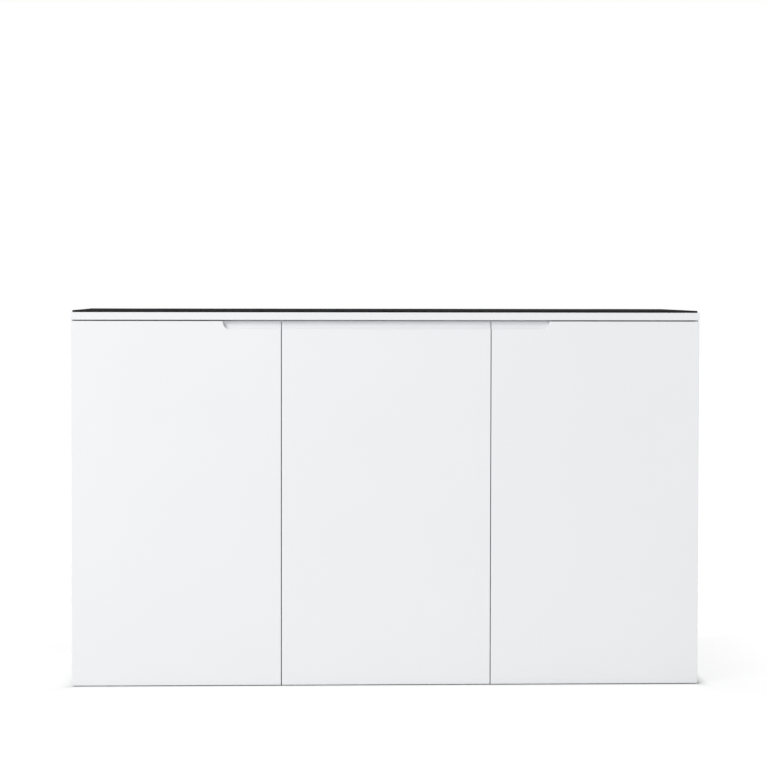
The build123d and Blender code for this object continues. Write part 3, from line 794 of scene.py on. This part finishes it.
def make_shelf_pins():
    """Shelf pins: a grooved shank, a collar and a smooth peg."""
    rings = [round_ring(-8.0, 1.9), round_ring(-7.5, 2.4)]
    for groove in range(4):
        rings += [round_ring(-7.0 + 1.6 * groove, 2.4), round_ring(-6.2 + 1.6 * groove, 2.15)]
    peg = ((-0.4, 2.4), (0.0, 2.4), (0.0, 3.4), (0.7, 3.4), (0.8, 2.4), (8.6, 2.4), (9.0, 2.0))
    rings += [round_ring(height, radius) for height, radius in peg]
    form = bmesh.new()
    for centre, low, high in islands("shelf_pins"):
        way = side_of(centre)
        face = Vector(((low.x if way > 0 else high.x) + way * 8.0 * MM, centre.y, centre.z))
        loft(form, rings, facing(face, (way, 0, 0)))
    piece("grooved_shelf_pins", form, "nickel", "carcass", ["shelf_pins"])


def make_dowels():
    """Fluted dowels with chamfered ends."""

    def flutes(angle):
        return 3.95 if math.cos(12 * angle) > -0.2 else 3.6

    rings = [round_ring(0.0, 3.1), ring(1.0, flutes), ring(23.0, flutes), round_ring(24.0, 3.1)]
    form = bmesh.new()
    for centre, low, high in islands("panel_dowels"):
        if high.x - low.x > high.z - low.z:
            loft(form, rings, facing(Vector((low.x, centre.y, centre.z)), (1, 0, 0)))
        else:
            loft(form, rings, facing(Vector((centre.x, centre.y, low.z)), (0, 0, 1)))
    piece("fluted_dowels", form, "beech", "carcass", ["panel_dowels"])


def make_feet():
    """Moulded pad, hexagonal nut and threaded stem of each levelling foot."""
    for row in ("front", "rear"):
        for number in range(1, 5):
            node = f"{row}_foot_{number}"
            low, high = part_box(node)
            place = Matrix.Translation(((low.x + high.x) / 2, (low.y + high.y) / 2, low.z))
            pad = bmesh.new()
            profile = [(3.0, 1.2), (17.0, 1.2), (18.0, 0.0), (24.2, 0.2), (25.0, 1.4), (25.0, 6.4)]
            profile += [(24.4, 8.0), (22.8, 9.2), (14.0, 10.0), (11.5, 10.0), (11.0, 9.4), (3.0, 9.4)]
            turned(pad, profile, place, count=72)
            piece(node + "_pad", pad, "black_plastic", node, [node])
            stem = bmesh.new()
            nut = [(9.2, 8.1), (9.7, 9.0), (16.2, 9.0), (17.0, 8.1)]
            loft(stem, [hex_ring(height, 9.0, limit) for height, limit in nut], place)
            thread(stem, place, 15.5, 74.5, 4.25, 4.85, 1.5)
            end = [round_ring(72.0, 4.3), round_ring(76.0, 4.3), round_ring(77.0, 3.6)]
            loft(stem, end + [hex_ring(77.0, 2.6), hex_ring(73.5, 2.6)], place)
            piece(node + "_threaded_stem", stem, "zinc", node)


# ---- Cup hinges ---------------------------------------------------------------------------------
def plate(form, low, high, radius, bottom, top, place, soft=0.35):
    """A flat plate in local millimetres: rounded outline in X and Y, from bottom to top along Z."""
    rings = []
    for inset, height in ((soft, bottom), (0.0, bottom + soft), (0.0, top - soft), (soft, top)):
        near, far = [value + inset for value in low], [value - inset for value in high]
        outline = rounded_outline(near, far, radius - inset)
        rings.append([Vector((point.x, point.y, height)) for point in outline])
    loft(form, rings, place)


def flange_ear(form, place, side):
    """Half of a hinge cup's flange: its inner edge follows the cup, its outer corners are round."""
    inner, corner = 17.3, 6.0
    angles = (0.652, 0.43, 0.2, 0.0, -0.2, -0.447)
    points = [(inner * math.sin(angle), inner * math.cos(angle)) for angle in angles]
    for centre, start in ((-1.5, math.pi), (4.5, math.pi / 2)):
        for step in range(7):
            angle = start - math.pi / 2 * step / 6
            points.append((centre + corner * math.cos(angle), 25.0 + corner * math.sin(angle)))
    rings = [[Vector((x, side * y, height)) for x, y in points] for height in (0.0, 0.85)]
    middle = Vector((1.5, side * 23.0, 0.0))
    rings.append([middle.lerp(Vector((x, side * y, 0.0)), 0.965) + Vector((0, 0, 1.2)) for x, y in points])
    loft(form, rings, place)


def hinge_places(leaf):
    """Local axes of a door's hinges: X inward from its hinge edge, Y into the cabinet, Z up.

    Also gives how far the face that carries the plates lies inside that edge, in millimetres.
    """
    door_low, door_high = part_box(leaf + "_door")
    plates_low, plates_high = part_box(leaf + "_hinge_plates")
    inward = 1.0 if leaf == "left" else -1.0
    edge = door_low.x if inward > 0 else door_high.x
    face = plates_low.x if inward > 0 else plates_high.x
    turn = Matrix.Diagonal((inward, 1.0, 1.0, 1.0))
    places = []
    for centre, _, _ in islands(leaf + "_hinge_cups"):
        places.append(Matrix.Translation((edge, door_high.y, centre.z)) @ turn)
    return places, abs(face - edge) / MM


def at_pin(hinge):
    return hinge @ Matrix.Translation((ARM_PIN[0] * MM, ARM_PIN[1] * MM, 0))


def cup(form, hinge, face):
    """Stamped cup with a rolled rim, a dished bottom and two flange ears."""
    place = hinge @ Matrix.Translation((CUP_CENTRE * MM, 0, 0)) @ Matrix.Rotation(-math.pi / 2, 4, "X")
    outside = [(0.5, -11.3), (15.6, -11.4), (17.0, -11.0), (17.45, -9.9), (17.45, 0.0)]
    rim = [(18.8, 0.0), (18.95, 0.5), (18.7, 1.0), (18.0, 1.25), (17.1, 1.15), (16.5, 0.6)]
    inside = [(16.4, -0.4), (16.4, -9.3), (15.6, -10.2), (11.0, -10.4), (10.0, -10.0), (0.5, -10.0)]
    turned(form, outside + rim + inside, place, count=72)
    for side in (-1, 1):
        flange_ear(form, place, side)


def adjusting_screw(form, place):
    """Cross-recess head of an adjusting screw, seated on the arm."""
    head = ((-0.6, 3.06), (0.0, 3.4), (0.5, 3.4), (0.85, 2.924))
    rings = [round_ring(height, radius) for height, radius in head]
    loft(form, rings + [cross_ring(0.85, 2.04), cross_ring(-0.3, 1.53)], place)


def arm_nose(form, hinge, low):
    """The arm's cranked end, with two ears that hold the riveted pin inside the cup."""
    pin = at_pin(hinge)
    for side in (-1, 1):
        near, far = sorted((side * 4.35, side * 6.3))
        brick(form, (21.9, ARM_PIN[1], near), (28.1, 4.5, far), hinge, 0.5)
        eye = [(0.5, near), (2.9, near), (3.15, near + 0.3), (3.15, far - 0.3), (2.9, far), (0.5, far)]
        turned(form, eye, pin)
        turned(form, [(2.3, side * 6.2), (2.2, side * 6.6), (1.4, side * 6.9), (0.5, side * 6.95)], pin)
    brick(form, (low + 0.2, 6.0, -5.9), (28.4, 15.5, 5.9), hinge, 1.4, 3)
    brick(form, (22.2, -1.9, -6.05), (27.8, 12.0, 6.05), hinge, 0.8)
    turned(form, [(1.45, -6.0), (1.45, 6.0)], pin)


def arm(form, hinge, face):
    """Channel arm: a web and two walls, its nose, two adjusting screws and a release tab."""
    low = face + PLATE_THICK
    web = low + 9.0
    brick(form, (web - 1.6, 14.0, -7.0), (web, 62.0, 7.0), hinge, 0.7)
    for side in (-1, 1):
        near, far = sorted((side * 5.7, side * 7.0))
        brick(form, (low + 0.1, 15.0, near), (web - 0.6, 61.0, far), hinge, 0.5)
    arm_nose(form, hinge, low)
    for depth in (23.0, 51.0):
        seat = hinge @ Matrix.Translation((web * MM, depth * MM, 0)) @ Matrix.Rotation(math.pi / 2, 4, "Y")
        adjusting_screw(form, seat)
    brick(form, (low + 2.5, 60.0, -5.0), (low + 6.5, 63.6, 5.0), hinge, 1.2, 3)


def base_plate(form, hinge, face):
    """Die-cast mounting plate: a stepped rail and two screwed wings."""
    upright = Matrix(((0, 0, 1, 0), (1, 0, 0, 0), (0, 1, 0, 0), (0, 0, 0, 1)))
    seat = hinge @ Matrix.Translation((face * MM, 0, 0)) @ upright
    plate(form, (20.0, -8.0), (70.0, 8.0), 2.5, 0.0, 2.9, seat)
    plate(form, (32.0, -25.0), (46.0, 25.0), 5.0, 0.0, 2.0, seat, 0.5)
    plate(form, (64.0, -4.5), (69.0, 4.5), 1.5, 2.6, 4.4, seat, 0.4)


def link(form, hinge, face):
    """Link with its eye round the arm's pin."""
    eye = [(1.6, -3.9), (2.8, -3.9), (3.0, -3.6), (3.0, 3.6), (2.8, 3.9), (1.6, 3.9)]
    turned(form, eye, at_pin(hinge), loop=True)
    brick(form, (13.05, -7.9, -3.9), (22.9, -5.1, 3.9), hinge, 0.9, 3)


def make_hinges():
    """Three hinges to a door; each kind of part is one piece that rides with its own body."""
    for leaf in LEAVES:
        places, face = hinge_places(leaf)
        kinds = (
            ("stamped_cups", "hinge_cups", leaf + "_door_leaf", cup),
            ("channel_arms", "hinge_arms", "carcass", arm),
            ("cast_plates", "hinge_plates", "carcass", base_plate),
            ("eyed_links", "hinge_links", leaf + "_links", link),
        )
        for name, node, body, shape in kinds:
            form = bmesh.new()
            for place in places:
                shape(form, place, face)
            settle(form)
            piece(f"{leaf}_{name}", form, "nickel", body, [f"{leaf}_{node}"])


# ---- Foam levelling mat -------------------------------------------------------------------------
def mat_cut_out():
    """Corners of the mat's cut-out, read from the CAD mat's inner vertices."""
    low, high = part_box("levelling_mat")
    margin = 20 * MM
    corners = [vert.co for vert in NODES["levelling_mat"].data.vertices]
    inner = [co for co in corners if low.x + margin < co.x < high.x - margin]
    inner = [co for co in inner if low.y + margin < co.y < high.y - margin]
    cut_low = (min(co.x for co in inner), min(co.y for co in inner))
    cut_high = (max(co.x for co in inner), max(co.y for co in inner))
    return cut_low, cut_high


def mat_height(high, point):
    """Level of the mat's faintly uneven top at a point."""
    return high.z - MAT_SINK + 0.22 * MM * noise.noise(Vector((point.x * 9.0, point.y * 9.0, 3.1)))


def mat_rim(form, outline, low, high, outside):
    """Wavy wall with a rounded rim along one outline; returns its rows of vertices, lowest first."""
    count = len(outline)
    side = -1.0 if outside else 1.0
    rows = []
    for inset, rise in MAT_RIM:
        row = []
        for index, point in enumerate(outline):
            way = (outline[(index + 1) % count] - outline[index - 1]).normalized()
            outward = Vector((way.y, -way.x)) * -side
            wave = MAT_WAVE * noise.noise(Vector((point.x * 14.0, point.y * 14.0, 8.0 * side)))
            if outside:
                wave = max(wave, -0.3 * MM) + 0.3 * MM
            spot = point - outward * (inset * MM + wave)
            thick = high.z - low.z
            level = low.z + thick * rise if rise < 0.95 else mat_height(high, spot) - (1.0 - rise) * thick
            row.append(form.verts.new((spot.x, spot.y, level)))
        rows.append(row)
    for below, above in zip(rows, rows[1:]):
        for index in range(count):
            nxt = (index + 1) % count
            form.faces.new((below[index], below[nxt], above[nxt], above[index]))
    return rows


def mat_inside(low, high, cut_low, cut_high):
    """Jittered grid of points on the mat, clear of its edges and of its cut-out."""
    rand = random.Random(7)
    inside = []
    for x in range(int((high.x - low.x) / MAT_GRID)):
        for y in range(int((high.y - low.y) / MAT_GRID)):
            across = low.x + (x + 0.5 + rand.uniform(-0.2, 0.2)) * MAT_GRID
            along = low.y + (y + 0.5 + rand.uniform(-0.2, 0.2)) * MAT_GRID
            spot = Vector((across, along))
            in_hole = all(cut_low[i] - MAT_MARGIN < spot[i] < cut_high[i] + MAT_MARGIN for i in range(2))
            near_edge = min(spot.x - low.x, high.x - spot.x, spot.y - low.y, high.y - spot.y) < MAT_MARGIN
            if not in_hole and not near_edge:
                inside.append(spot)
    return inside


def mat_sheet(form, rims, extra, high, cut_low, cut_high):
    """Fills the space between the outer and the inner rim with triangles through the extra points."""
    known = [vert for rim in rims for vert in rim]
    points = [vert.co.xy for vert in known] + extra
    edges, start = [], 0
    for rim in rims:
        edges += [(start + index, start + (index + 1) % len(rim)) for index in range(len(rim))]
        start += len(rim)
    made, _, faces, sources, _, _ = delaunay_2d_cdt(points, edges, [], 0, 1e-7)
    verts = []
    for point, origin in zip(made, sources):
        old = next((index for index in origin if index < len(known)), None)
        verts.append(known[old] if old is not None else form.verts.new((*point, mat_height(high, point))))
    for face in faces:
        centre = sum((Vector(made[index]) for index in face), Vector((0, 0))) / len(face)
        if not all(cut_low[i] + 1 * MM < centre[i] < cut_high[i] - 1 * MM for i in range(2)):
            form.faces.new([verts[index] for index in face])


def make_mat():
    """Knife-cut foam sheet: rounded rims, slightly wavy edges and a faintly uneven top."""
    low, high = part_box("levelling_mat")
    cut_low, cut_high = mat_cut_out()
    outer = rounded_outline(low.xy, high.xy, MAT_CORNER, 14 * MM)
    inner = rounded_outline(cut_low, cut_high, MAT_CUT_CORNER, 10 * MM)
    form = bmesh.new()
    walls = [mat_rim(form, outer, low, high, True), mat_rim(form, inner, low, high, False)]
    inside = mat_inside(low, high, cut_low, cut_high)
    mat_sheet(form, [rows[0] for rows in walls], [], high, cut_low, cut_high)
    mat_sheet(form, [rows[-1] for rows in walls], inside, high, cut_low, cut_high)
    mat = piece("foam_mat", form, "foam", "carcass", ["levelling_mat"])


# ---- Scene --------------------------------------------------------------------------------------
make_camera()
make_light()
make_floor(floor_finish())
dress_nodes()
make_screws()
make_cams()
make_grommets()
make_bumpers()
make_key_hole_caps()
make_magnets()
make_shelf_pins()
make_dowels()
make_feet()
make_hinges()
make_mat()
soften_boards()
